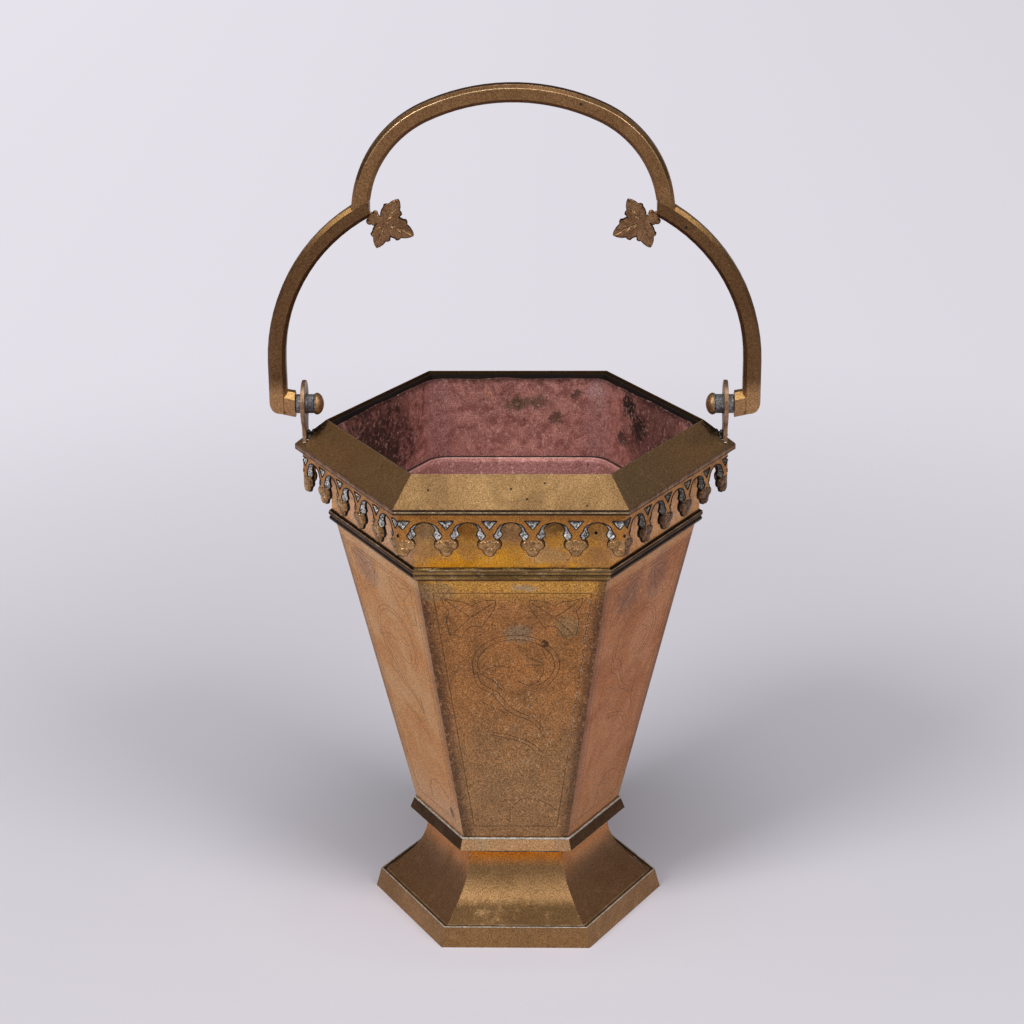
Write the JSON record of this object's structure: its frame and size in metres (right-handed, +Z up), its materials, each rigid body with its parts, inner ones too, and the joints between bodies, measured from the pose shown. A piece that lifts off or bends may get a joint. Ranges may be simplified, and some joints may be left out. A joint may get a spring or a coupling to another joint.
{
  "type": "holy water bucket",
  "caption": "Hexagonal brass holy water bucket on a flared foot, with a copper liner, a pierced gothic cresting under its rim and a swinging bail.",
  "frame": {"origin": "centre of the foot's underside, on the surface that the bucket stands on", "axes": "+Z up; -Y is the front, square to a flat side; the bail's pins lie along X, over two corners of the hexagon"},
  "size_m": [0.2206, 0.1732, 0.3901],
  "materials": {
    "body_brass": "aged, brown lacquer-like patina over sheet brass",
    "frieze_brass": "satin, warm golden patina",
    "rim_brass": "satin, tan patina with a bright worn lip",
    "foot_brass": "satin, brown patina with orange reflections",
    "moulding_brass": "dark patina with bright edges",
    "cresting_bronze": "cast, dull, with solder-bright flanks",
    "bail_bronze": "brown patina with bright arrises",
    "ear_bronze": "dull grey-brown",
    "liner_copper": "dull mauve copper with green-black stains",
    "oxidised_pin": "grey-blue oxidised, speckled"
  },
  "bodies": {
    "bucket": {"plinth_front": "foot_brass", "plinth_front_right": "foot_brass", "plinth_back_right": "foot_brass", "plinth_back": "foot_brass", "plinth_back_left": "foot_brass", "plinth_front_left": "foot_brass", "foot_gore_front": "foot_brass", "foot_gore_front_right": "foot_brass", "foot_gore_back_right": "foot_brass", "foot_gore_back": "foot_brass", "foot_gore_back_left": "foot_brass", "foot_gore_front_left": "foot_brass", "body_floor": "moulding_brass", "collar_front": "foot_brass", "collar_front_right": "foot_brass", "collar_back_right": "foot_brass", "collar_back": "foot_brass", "collar_back_left": "foot_brass", "collar_front_left": "foot_brass", "body_panel_front": "body_brass", "body_panel_front_right": "body_brass", "body_panel_back_right": "body_brass", "body_panel_back": "body_brass", "body_panel_back_left": "body_brass", "body_panel_front_left": "body_brass", "frieze_band": "frieze_brass", "shoulder_moulding_front": "moulding_brass", "shoulder_moulding_front_right": "moulding_brass", "shoulder_moulding_back_right": "moulding_brass", "shoulder_moulding_back": "moulding_brass", "shoulder_moulding_back_left": "moulding_brass", "shoulder_moulding_front_left": "moulding_brass", "rim_front": "rim_brass", "rim_front_right": "rim_brass", "rim_back_right": "rim_brass", "rim_back": "rim_brass", "rim_back_left": "rim_brass", "rim_front_left": "rim_brass", "cresting_front": "cresting_bronze", "cresting_front_right": "cresting_bronze", "cresting_back_right": "cresting_bronze", "cresting_back": "cresting_bronze", "cresting_back_left": "cresting_bronze", "cresting_front_left": "cresting_bronze", "liner_wall": "liner_copper", "liner_floor": "liner_copper", "ear_right": "ear_bronze", "ear_left": "ear_bronze"},
    "bail": {"bail_crown": "bail_bronze", "bail_side_right": "bail_bronze", "bail_side_left": "bail_bronze", "bail_pin_right": "oxidised_pin", "bail_pin_left": "oxidised_pin", "pin_head_right": "bail_bronze", "pin_head_left": "bail_bronze", "bail_leaf_right": "bail_bronze", "bail_leaf_left": "bail_bronze"}
  },
  "joints": [
    {"name": "bail_swing", "type": "hinge", "parent": "bucket", "child": "bail", "pos_m": [0, 0, 0.245], "axis": [1, 0, 0], "range_deg": [-95, 95]}
  ]
}
